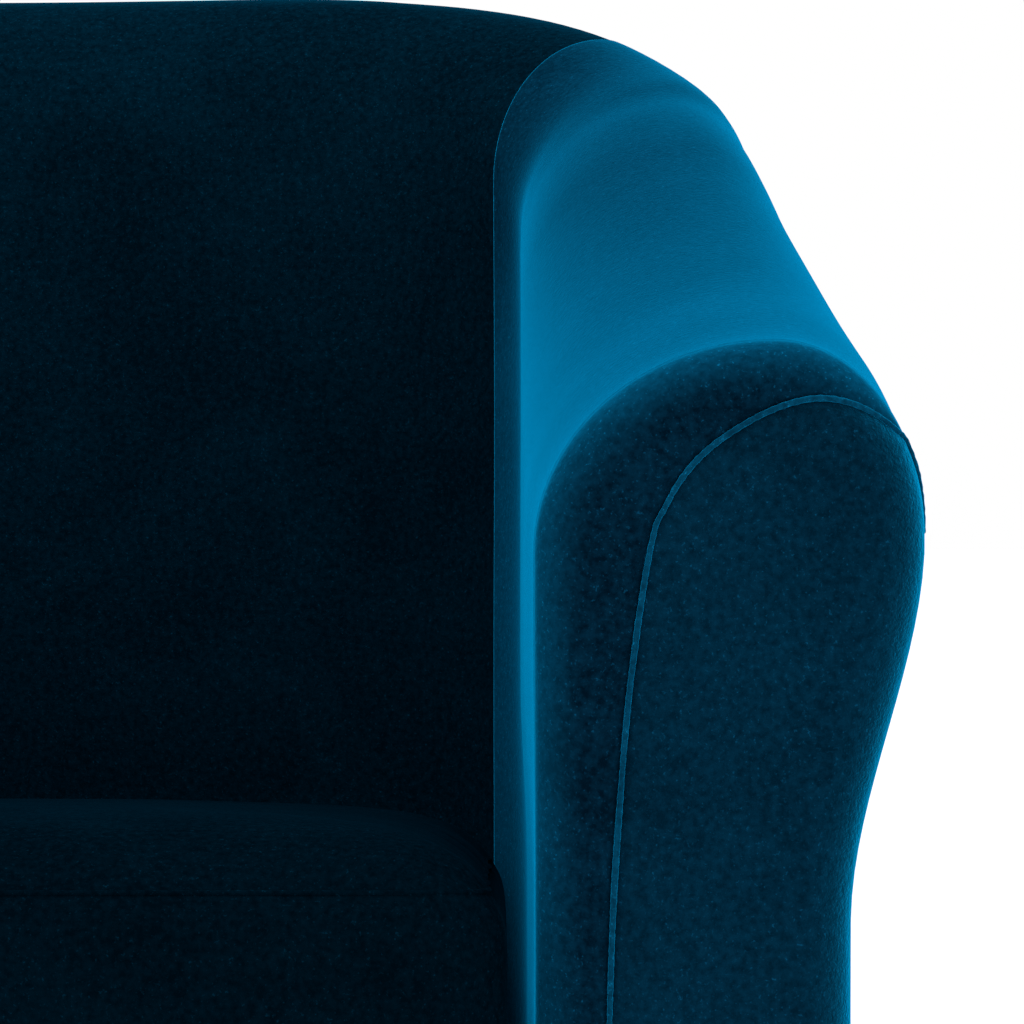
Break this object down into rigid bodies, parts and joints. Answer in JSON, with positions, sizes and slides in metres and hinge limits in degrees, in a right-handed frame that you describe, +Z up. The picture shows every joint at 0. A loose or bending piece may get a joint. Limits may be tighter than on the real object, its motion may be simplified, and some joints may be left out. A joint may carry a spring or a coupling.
{
  "type": "upholstered armchair",
  "caption": "Tub armchair in petrol velvet: rolled arms sweep up into a curved back, with a top-stitched arm facing, a loose seat cushion and tapered legs.",
  "frame": {"origin": "on the floor under the middle of the chair's bounding box", "axes": "+X across the chair to the sitter's left (the viewer's right), the front faces -Y, +Z up"},
  "size_m": [0.724, 0.6766, 0.752],
  "materials": {
    "velvet": "petrol blue cut-pile velvet",
    "seam_thread": "folded velvet edge with a matching stitch",
    "foam": "upholstery foam, matte",
    "beech": "planed beech, unfinished",
    "plywood": "sawn plywood, unfinished",
    "walnut": "dark walnut stain, satin lacquer",
    "steel": "zinc-plated steel, satin",
    "glide_plastic": "moulded black plastic",
    "webbing": "elastic webbing, matte",
    "lining_board": "brown lining board",
    "felt": "needled felt over hessian",
    "platform_cloth": "black platform cloth",
    "dust_cloth": "black non-woven dust cloth",
    "zip_tape": "zip tape with moulded teeth"
  },
  "bodies": {
    "chair": {"front_rail": "beech", "back_rail": "beech", "left_side_rail": "beech", "right_side_rail": "beech", "corner_blocks": "beech", "left_front_panel": "plywood", "right_front_panel": "plywood", "left_back_post": "beech", "right_back_post": "beech", "left_arm_rail": "beech", "right_arm_rail": "beech", "back_top_rail": "beech", "back_slats": "beech", "front_left_leg": "walnut", "front_right_leg": "walnut", "rear_left_leg": "walnut", "rear_right_leg": "walnut", "leg_bolts": "steel", "t_nuts": "steel", "leg_glides": "glide_plastic", "seat_springs": "steel", "spring_clips": "steel", "spring_tie_wires": "steel", "back_webbing": "webbing", "left_arm_webbing": "webbing", "right_arm_webbing": "webbing", "left_arm_foam": "foam", "right_arm_foam": "foam", "back_foam_pad": "foam", "left_front_pad": "foam", "right_front_pad": "foam", "border_foam": "foam", "left_arm_lining": "lining_board", "right_arm_lining": "lining_board", "back_lining": "lining_board", "back_tack_strips": "steel", "left_arm_cover": "velvet", "right_arm_cover": "velvet", "inside_back_cover": "velvet", "left_arm_facing": "velvet", "right_arm_facing": "velvet", "left_facing_seam": "seam_thread", "right_facing_seam": "seam_thread", "left_outside_arm_cover": "velvet", "right_outside_arm_cover": "velvet", "outside_back_cover": "velvet", "front_border_cover": "velvet", "seat_deck": "felt", "seat_deck_cover": "platform_cloth", "dust_cover": "dust_cloth"},
    "cushion": {"cushion_cover": "velvet", "cushion_core": "foam", "cushion_zip": "zip_tape"}
  },
  "joints": [
    {"name": "cushion_lift", "type": "slide", "parent": "chair", "child": "cushion", "axis": [0, 0, 1], "range_m": [0, 0.45]}
  ]
}
